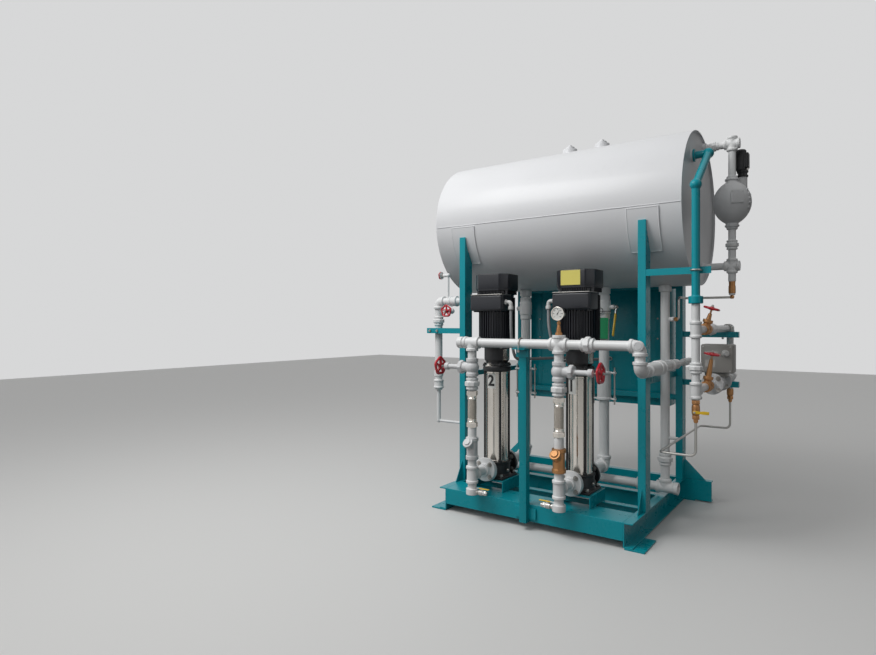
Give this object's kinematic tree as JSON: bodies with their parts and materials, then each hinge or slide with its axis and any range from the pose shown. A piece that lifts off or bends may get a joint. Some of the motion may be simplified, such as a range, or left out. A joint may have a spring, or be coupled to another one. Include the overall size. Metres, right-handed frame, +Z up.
{
  "type": "boiler feedwater skid",
  "caption": "Packaged boiler feed-water unit: horizontal receiver tank on a steel stand over vertical multistage pumps, with discharge, suction, make-up and level-control pipework.",
  "frame": {"origin": "on the floor, under the foot plates, midway between the four tank posts", "axes": "+X along the tank towards the level-control end, +Y from the pump side to the panel side, +Z up"},
  "size_m": [2.261, 1.7706, 2.724],
  "materials": {
    "teal_paint": "gloss enamel",
    "tank_primer": "satin grey primer",
    "pipe_paint": "satin grey paint",
    "motor_black": "satin black paint",
    "stainless": "brushed",
    "bronze": "cast, dull",
    "red_enamel": "gloss enamel",
    "yellow_vinyl": "vinyl sleeve on steel",
    "black_plastic": "matte",
    "grey_box": "satin",
    "gauge_steel": "polished",
    "conduit_grey": "matte"
  },
  "bodies": {
    "unit": {"side_beams": "teal_paint", "front_deck": "teal_paint", "cross_beams": "teal_paint", "back_beam": "teal_paint", "foot_plates": "teal_paint", "post_front_left": "teal_paint", "post_front_right": "teal_paint", "post_back_left": "teal_paint", "post_back_right": "teal_paint", "end_ties": "teal_paint", "pipe_support_post": "teal_paint", "pump_pedestals": "teal_paint", "tank_shell": "tank_primer", "tank_head_left": "tank_primer", "tank_head_right": "tank_primer", "saddle_pads": "tank_primer", "tank_plugs": "tank_primer", "pump_1_casing": "stainless", "pump_1_motor": "motor_black", "pump_2_casing": "stainless", "pump_2_motor": "motor_black", "motor_conduits": "conduit_grey", "discharge_header": "pipe_paint", "discharge_outlet": "pipe_paint", "discharge_risers": "pipe_paint", "check_valve_1": "bronze", "check_valve_2": "pipe_paint", "flex_connectors": "stainless", "discharge_valves": "pipe_paint", "suction_lines": "pipe_paint", "overflow_line": "pipe_paint", "bottom_header": "pipe_paint", "control_panel": "teal_paint", "panel_rails": "teal_paint", "vent_riser": "teal_paint", "float_column": "pipe_paint", "float_chamber": "pipe_paint", "float_switch": "black_plastic", "makeup_pipework": "pipe_paint", "makeup_valves": "bronze", "control_valve": "pipe_paint", "actuator_box": "grey_box", "pipe_brackets": "teal_paint", "drain_tubes": "stainless", "left_line": "pipe_paint", "pressure_gauge": "gauge_steel"},
    "drain_lever": {"drain_lever": "yellow_vinyl"},
    "handwheel_1": {"handwheel_1": "red_enamel"},
    "handwheel_2": {"handwheel_2": "red_enamel"},
    "left_wheel": {"left_wheel": "red_enamel"},
    "makeup_wheel_lower": {"makeup_wheel_lower": "red_enamel"},
    "makeup_wheel_upper": {"makeup_wheel_upper": "red_enamel"},
    "suction_lever": {"suction_lever": "yellow_vinyl"}
  },
  "joints": [
    {"name": "discharge_wheel_1_turn", "type": "hinge", "parent": "unit", "child": "handwheel_1", "pos_m": [0.533, -0.865, 1.052], "axis": [1, 0, 0], "range_deg": [0, 1890]},
    {"name": "discharge_wheel_2_turn", "type": "hinge", "parent": "unit", "child": "handwheel_2", "pos_m": [-0.641, -0.865, 1.052], "axis": [-1, 0, 0], "range_deg": [0, 1890]},
    {"name": "makeup_wheel_upper_turn", "type": "hinge", "parent": "unit", "child": "makeup_wheel_upper", "pos_m": [1.03914, -0.283, 1.44729], "axis": [0.2857, 0, 0.9583], "range_deg": [0, 1890]},
    {"name": "makeup_wheel_lower_turn", "type": "hinge", "parent": "unit", "child": "makeup_wheel_lower", "pos_m": [1.03254, -0.237, 1.15744], "axis": [0.1564, 0, 0.9877], "range_deg": [0, 1890]},
    {"name": "left_wheel_turn", "type": "hinge", "parent": "unit", "child": "left_wheel", "pos_m": [-0.861, -0.47155, 1.451], "axis": [0, -1, 0], "range_deg": [0, 1890]},
    {"name": "suction_lever_turn", "type": "hinge", "parent": "unit", "child": "suction_lever", "pos_m": [0.353, -0.06, 1.472], "axis": [-1, 0, 0], "range_deg": [-20, 70]},
    {"name": "drain_lever_turn", "type": "hinge", "parent": "unit", "child": "drain_lever", "pos_m": [1, -0.584, 0.827], "axis": [0, 1, 0], "range_deg": [0, 90]}
  ]
}
